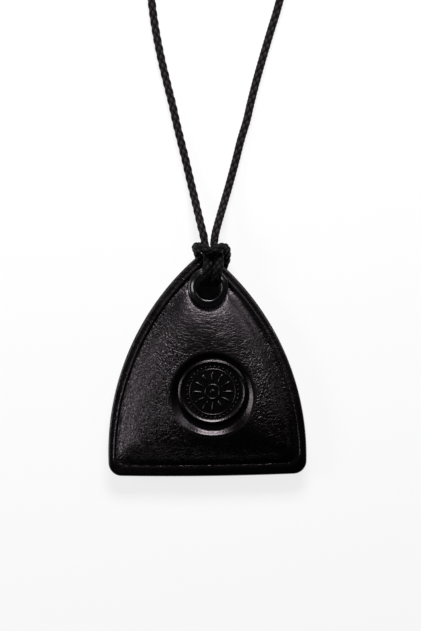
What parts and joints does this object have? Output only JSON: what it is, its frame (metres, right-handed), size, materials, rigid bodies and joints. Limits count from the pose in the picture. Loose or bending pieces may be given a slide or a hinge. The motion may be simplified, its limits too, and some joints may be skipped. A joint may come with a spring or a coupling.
{
  "type": "neck amulet",
  "caption": "Padded arch-shaped leather amulet with a pressed round medallion, hung by an eyelet from a hitched neck cord.",
  "frame": {"origin": "on the surface that the amulet lies on, under the middle of the amulet without its cord", "axes": "+Y from the lower edge to the tip, +Z out of the front face, +X to the right seen from the front"},
  "size_m": [0.048, 0.1557, 0.0092],
  "materials": {
    "grained_leather": "semi-gloss black leather with a fine pebble grain and soft creases",
    "smooth_leather": "smooth pressed black leather, semi-gloss",
    "fibre_board": "matt pressed board",
    "felt_padding": "soft felt wadding",
    "black_enamel": "gloss black enamel",
    "braided_cord": "braided black nylon with a soft sheen"
  },
  "bodies": {
    "amulet": {"front_cover": "grained_leather", "back_cover": "grained_leather", "core_board": "fibre_board", "front_pad": "felt_padding", "back_pad": "felt_padding", "medallion": "smooth_leather", "eyelet": "black_enamel", "eyelet_washer": "black_enamel", "cord_hitch": "braided_cord"},
    "neck_cord": {"cord_left": "braided_cord", "cord_right": "braided_cord", "cord_coil": "braided_cord", "closing_knot": "braided_cord"}
  },
  "joints": [
    {"name": "cord_swing", "type": "hinge", "parent": "amulet", "child": "neck_cord", "pos_m": [0.00113, 0.03134, 0.0046], "axis": [1, 0, 0], "range_deg": [-90, 90]}
  ]
}
